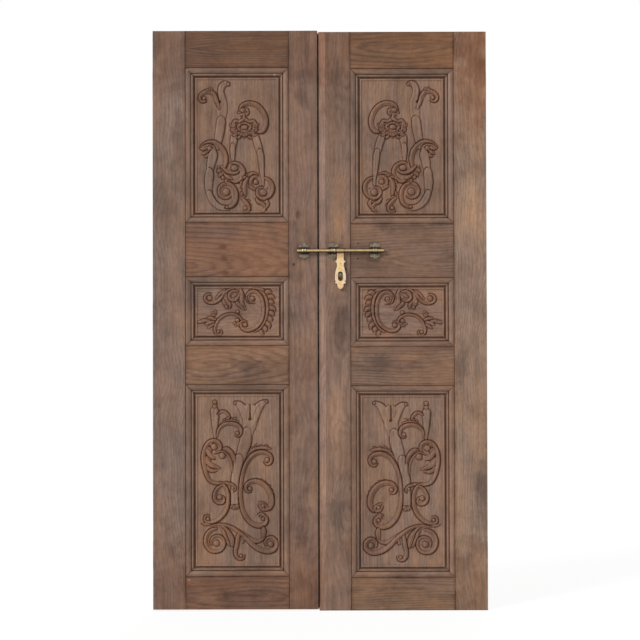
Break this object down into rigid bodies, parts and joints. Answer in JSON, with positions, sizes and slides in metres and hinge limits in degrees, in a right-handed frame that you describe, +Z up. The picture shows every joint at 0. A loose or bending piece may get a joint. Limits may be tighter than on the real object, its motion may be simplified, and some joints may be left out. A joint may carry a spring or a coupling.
{
  "type": "carved temple door",
  "caption": "Pair of old framed hardwood door leaves with carved scroll panels, planted mouldings, butt hinges, and a brass sliding bolt with a pierced hasp and padlock staple.",
  "frame": {"origin": "on the floor line, in the middle of the width and of the depth of the whole pair", "axes": "+Z up, +X to the right as seen from the carved side, -Y towards the viewer of the carved side"},
  "size_m": [1.2368, 0.075, 2.135],
  "materials": {
    "stile_wood": "bare, weathered and rubbed",
    "rail_wood": "bare, weathered and rubbed",
    "panel_wood": "carved, bare and dusty",
    "moulding_wood": "bare and dusty",
    "strip_wood": "bare, paler than the stiles",
    "hinge_iron": "dark, lightly rusted",
    "bolt_brass": "tarnished, bright where it rubs",
    "hasp_brass": "worn bright"
  },
  "bodies": {
    "jamb_hinges": {"left_jamb_flaps": "hinge_iron", "right_jamb_flaps": "hinge_iron", "left_hinge_pins": "hinge_iron", "right_hinge_pins": "hinge_iron"},
    "left_leaf": {"left_hanging_stile": "stile_wood", "left_meeting_stile": "stile_wood", "left_bottom_rail": "rail_wood", "left_lower_rail": "rail_wood", "left_lock_rail": "rail_wood", "left_top_rail": "rail_wood", "left_bottom_panel": "panel_wood", "left_middle_panel": "panel_wood", "left_top_panel": "panel_wood", "left_bottom_moulding_bottom": "moulding_wood", "left_bottom_moulding_top": "moulding_wood", "left_bottom_moulding_inner": "moulding_wood", "left_bottom_moulding_outer": "moulding_wood", "left_middle_moulding_bottom": "moulding_wood", "left_middle_moulding_top": "moulding_wood", "left_middle_moulding_inner": "moulding_wood", "left_middle_moulding_outer": "moulding_wood", "left_top_moulding_bottom": "moulding_wood", "left_top_moulding_top": "moulding_wood", "left_top_moulding_inner": "moulding_wood", "left_top_moulding_outer": "moulding_wood", "left_leaf_flaps": "hinge_iron", "left_keeper": "bolt_brass"},
    "right_leaf": {"right_hanging_stile": "stile_wood", "right_meeting_stile": "stile_wood", "right_bottom_rail": "rail_wood", "right_lower_rail": "rail_wood", "right_lock_rail": "rail_wood", "right_top_rail": "rail_wood", "right_bottom_panel": "panel_wood", "right_middle_panel": "panel_wood", "right_top_panel": "panel_wood", "right_bottom_moulding_bottom": "moulding_wood", "right_bottom_moulding_top": "moulding_wood", "right_bottom_moulding_inner": "moulding_wood", "right_bottom_moulding_outer": "moulding_wood", "right_middle_moulding_bottom": "moulding_wood", "right_middle_moulding_top": "moulding_wood", "right_middle_moulding_inner": "moulding_wood", "right_middle_moulding_outer": "moulding_wood", "right_top_moulding_bottom": "moulding_wood", "right_top_moulding_top": "moulding_wood", "right_top_moulding_inner": "moulding_wood", "right_top_moulding_outer": "moulding_wood", "right_leaf_flaps": "hinge_iron", "right_meeting_strip": "strip_wood", "right_inner_guide": "bolt_brass", "right_outer_guide": "bolt_brass", "padlock_staple": "bolt_brass"},
    "bolt": {"bolt_rod": "bolt_brass"},
    "hasp": {"hasp_plate": "hasp_brass"}
  },
  "joints": [
    {"name": "left_leaf_swing", "type": "hinge", "parent": "jamb_hinges", "child": "left_leaf", "pos_m": [-0.6134, 0.0325, 0], "axis": [0, 0, 1], "range_deg": [0, 105]},
    {"name": "right_leaf_swing", "type": "hinge", "parent": "jamb_hinges", "child": "right_leaf", "pos_m": [0.6134, 0.0325, 0], "axis": [0, 0, -1], "range_deg": [0, 105]},
    {"name": "bolt_slide", "type": "slide", "parent": "right_leaf", "child": "bolt", "axis": [1, 0, 0], "range_m": [0, 0.095]},
    {"name": "hasp_lift", "type": "hinge", "parent": "bolt", "child": "hasp", "pos_m": [0.0759, -0.0243, 1.322], "axis": [-1, 0, 0], "range_deg": [0, 160]}
  ],
  "couplings": [
    {"joint": "hasp_lift", "follows": "bolt_slide", "rad_per_m": 29.395}
  ]
}
